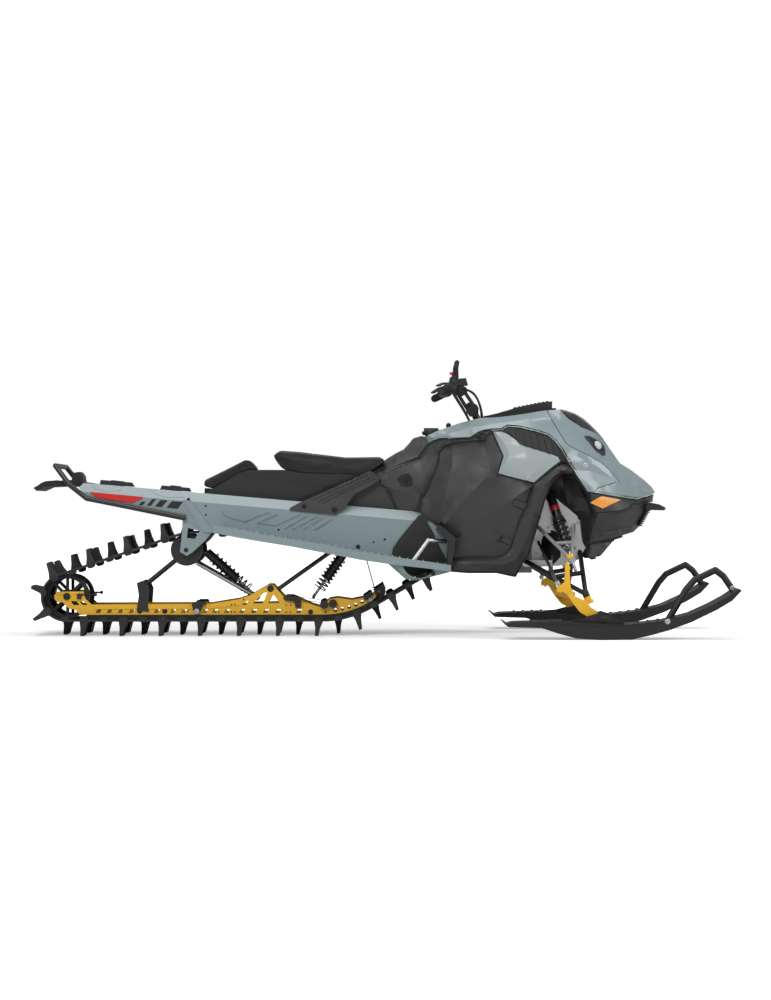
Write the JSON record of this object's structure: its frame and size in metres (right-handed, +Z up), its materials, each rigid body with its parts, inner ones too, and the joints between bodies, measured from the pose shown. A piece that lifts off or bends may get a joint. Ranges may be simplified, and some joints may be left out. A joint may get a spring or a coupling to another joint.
{
  "type": "snowmobile",
  "caption": "Mountain snowmobile with one long lugged track under a tunnel, a narrow angular body, a tall handlebar and two steered skis.",
  "frame": {"origin": "on the ground under the middle of the whole machine's box", "axes": "+X forward along the machine, +Z up, the middle plane at Y = 0"},
  "size_m": [3.2256, 1.102, 1.2787],
  "materials": {
    "arm_grey": "satin grey paint",
    "bare_aluminium": "bare rolled sheet",
    "bare_steel": "zinc plated",
    "black_paint": "satin black paint",
    "black_plastic": "black moulded plastic",
    "black_rubber": "matte rubber",
    "body_grey": "satin grey-blue",
    "body_light": "light grey",
    "cast_metal": "cast",
    "clear_lens": "lamp lens",
    "dark_lens": "smoked screen",
    "dark_panel": "dark grey textured plastic",
    "red_lens": "red lens",
    "seat_cover": "black coated seat cloth",
    "ski_plastic": "black polyethylene",
    "track_rubber": "moulded rubber",
    "yellow_paint": "gloss yellow paint"
  },
  "bodies": {
    "chassis": {"bulkhead": "bare_aluminium", "cargo_cleats": "black_plastic", "carrier_wheels": "black_plastic", "dash_vent": "black_plastic", "drive_sprockets": "black_plastic", "engine_block": "cast_metal", "fascia_lower": "dark_panel", "fascia_upper": "dark_panel", "footwells": "black_plastic", "frame_rails": "dark_panel", "front_bumper": "black_plastic", "front_shocks": "black_paint", "front_skid_arm": "black_paint", "front_springs": "black_paint", "fuel_cap": "black_plastic", "headlamps": "clear_lens", "hood": "body_grey", "idler_wheels": "black_plastic", "knee_panels": "dark_panel", "lower_arms": "black_paint", "nose_cone": "body_grey", "rear_bag": "seat_cover", "rear_bumper": "black_paint", "rear_skid_arm": "black_paint", "rear_wheels": "black_plastic", "running_boards": "body_grey", "seat_base": "black_plastic", "seat_pad": "seat_cover", "seat_struts": "black_plastic", "shoulder_panels": "body_light", "side_grilles": "black_plastic", "side_panels": "dark_panel", "side_reflectors": "red_lens", "skid_rails": "yellow_paint", "skid_shocks": "bare_steel", "slide_shoes": "black_plastic", "snow_flap": "black_rubber", "steering_post": "black_paint", "tail_lamp": "red_lens", "tank_cover": "black_plastic", "toe_bars": "bare_aluminium", "track": "track_rubber", "tunnel": "body_grey", "tunnel_brackets": "body_grey", "upper_arms": "arm_grey", "windshield": "dark_lens"},
    "handlebar": {"bar_controls": "black_plastic", "display": "black_plastic", "grab_strap": "black_rubber", "grips": "black_rubber", "handlebar": "black_paint", "steering_column": "black_paint"},
    "spindle_left": {"spindle_left": "yellow_paint"},
    "ski_left": {"ski_left": "ski_plastic", "ski_loop_left": "ski_plastic"},
    "tie_rod_left": {"tie_rod_left": "bare_steel"},
    "spindle_right": {"spindle_right": "yellow_paint"},
    "ski_right": {"ski_right": "ski_plastic", "ski_loop_right": "ski_plastic"},
    "tie_rod_right": {"tie_rod_right": "bare_steel"}
  },
  "joints": [
    {"name": "handlebar_turn", "type": "hinge", "parent": "chassis", "child": "handlebar", "pos_m": [0.4965, 0, 0.93897], "axis": [-0.5351, 0, 0.8448], "range_deg": [-32, 32]},
    {"name": "spindle_turn_right", "type": "hinge", "parent": "chassis", "child": "spindle_right", "pos_m": [0.93044, -0.425, 0.20013], "axis": [-0.3808, 0, 0.9247], "range_deg": [-26, 26]},
    {"name": "ski_tilt_right", "type": "hinge", "parent": "spindle_right", "child": "ski_right", "pos_m": [1.00252, -0.465, 0.09633], "axis": [0, 1, 0], "range_deg": [-15, 12]},
    {"name": "tie_rod_swing_right", "type": "hinge", "parent": "spindle_right", "child": "tie_rod_right", "pos_m": [0.8135, -0.425, 0.22261], "axis": [-0.3808, 0, 0.9247], "range_deg": [-26, 26]},
    {"name": "spindle_turn_left", "type": "hinge", "parent": "chassis", "child": "spindle_left", "pos_m": [0.93044, 0.425, 0.20013], "axis": [-0.3808, 0, 0.9247], "range_deg": [-26, 26]},
    {"name": "ski_tilt_left", "type": "hinge", "parent": "spindle_left", "child": "ski_left", "pos_m": [1.00252, 0.465, 0.09633], "axis": [0, 1, 0], "range_deg": [-15, 12]},
    {"name": "tie_rod_swing_left", "type": "hinge", "parent": "spindle_left", "child": "tie_rod_left", "pos_m": [0.8135, 0.425, 0.22261], "axis": [-0.3808, 0, 0.9247], "range_deg": [-26, 26]}
  ],
  "couplings": [
    {"joint": "spindle_turn_right", "follows": "handlebar_turn", "ratio": 0.8},
    {"joint": "tie_rod_swing_right", "follows": "handlebar_turn", "ratio": -0.8},
    {"joint": "spindle_turn_left", "follows": "handlebar_turn", "ratio": 0.8},
    {"joint": "tie_rod_swing_left", "follows": "handlebar_turn", "ratio": -0.8}
  ]
}
